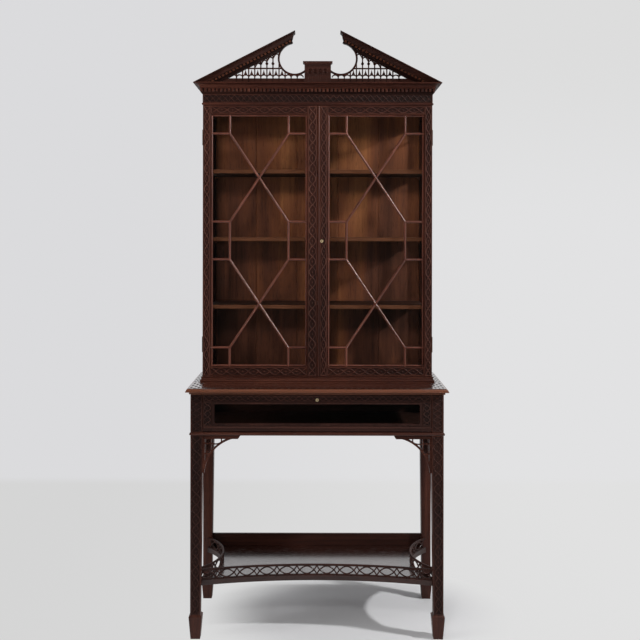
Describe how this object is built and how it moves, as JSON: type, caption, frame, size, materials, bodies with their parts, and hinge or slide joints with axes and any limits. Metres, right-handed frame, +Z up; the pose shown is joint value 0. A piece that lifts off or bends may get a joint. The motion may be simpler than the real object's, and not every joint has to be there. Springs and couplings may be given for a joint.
{
  "type": "display cabinet on stand",
  "caption": "Carved display cabinet with glazed astragal doors and a pierced broken pediment, on a stand with a glazed fall-front compartment, corner brackets and a galleried shelf.",
  "frame": {"origin": "centre of the bounding box on the floor under the feet", "axes": "+Z up, -Y out of the glazed front, +X to the right of someone facing the front"},
  "size_m": [0.974, 0.458, 2.281],
  "materials": {
    "mahogany": "polished, carved",
    "plain_mahogany": "satin",
    "window_glass": "clear",
    "aged_brass": "tarnished"
  },
  "bodies": {
    "carcase": {"bottom_board": "mahogany", "base_moulding": "mahogany", "left_side_frame": "mahogany", "right_side_frame": "mahogany", "left_side_astragals": "mahogany", "right_side_astragals": "mahogany", "frieze": "mahogany", "dentil_course": "mahogany", "cornice": "mahogany", "cornice_board": "mahogany", "ceiling_board": "mahogany", "left_raking_cornice": "mahogany", "right_raking_cornice": "mahogany", "left_pediment_fret": "mahogany", "right_pediment_fret": "mahogany", "centre_plinth": "mahogany", "front_left_leg": "mahogany", "front_right_leg": "mahogany", "rear_left_leg": "mahogany", "rear_right_leg": "mahogany", "front_rail": "mahogany", "left_end_frame": "mahogany", "right_end_frame": "mahogany", "waist_bead": "mahogany", "front_left_bracket": "mahogany", "front_right_bracket": "mahogany", "left_end_brackets": "mahogany", "right_end_brackets": "mahogany", "lower_shelf": "mahogany", "front_gallery": "mahogany", "left_gallery": "mahogany", "right_gallery": "mahogany", "shelf_upstand": "mahogany", "table_top": "mahogany", "rear_panel": "plain_mahogany", "compartment_floor": "plain_mahogany", "back_boards": "plain_mahogany", "bottom_shelf": "plain_mahogany", "middle_shelf": "plain_mahogany", "top_shelf": "plain_mahogany", "shelf_bearers": "plain_mahogany", "end_panes": "window_glass", "side_panes": "window_glass", "left_case_hinges": "aged_brass", "right_case_hinges": "aged_brass"},
    "left_door": {"left_door_frame": "mahogany", "left_door_astragals": "mahogany", "left_door_pane": "window_glass", "left_door_hinges": "aged_brass"},
    "right_door": {"right_door_frame": "mahogany", "right_door_astragals": "mahogany", "right_door_pane": "window_glass", "right_door_hinges": "aged_brass", "door_lock": "aged_brass"},
    "door_bolt": {"door_lock_bolt": "aged_brass"},
    "fall_front": {"fall_frame": "mahogany", "fall_pane": "window_glass", "fall_pivot_pins": "aged_brass", "fall_lock": "aged_brass"},
    "fall_bolt": {"fall_lock_bolt": "aged_brass"}
  },
  "joints": [
    {"name": "left_door_hinge", "type": "hinge", "parent": "carcase", "child": "left_door", "pos_m": [-0.4455, -0.0325, 1.4735], "axis": [0, 0, -1], "range_deg": [0, 180]},
    {"name": "right_door_hinge", "type": "hinge", "parent": "carcase", "child": "right_door", "pos_m": [0.4455, -0.0325, 1.4735], "axis": [0, 0, 1], "range_deg": [0, 180]},
    {"name": "fall_front_hinge", "type": "hinge", "parent": "carcase", "child": "fall_front", "pos_m": [0, -0.204, 0.773], "axis": [1, 0, 0], "range_deg": [0, 90]},
    {"name": "door_lock_slide", "type": "slide", "parent": "right_door", "child": "door_bolt", "axis": [-1, 0, 0], "range_m": [0, 0.006]},
    {"name": "fall_lock_slide", "type": "slide", "parent": "fall_front", "child": "fall_bolt", "axis": [0, 0, 1], "range_m": [0, 0.006]}
  ]
}
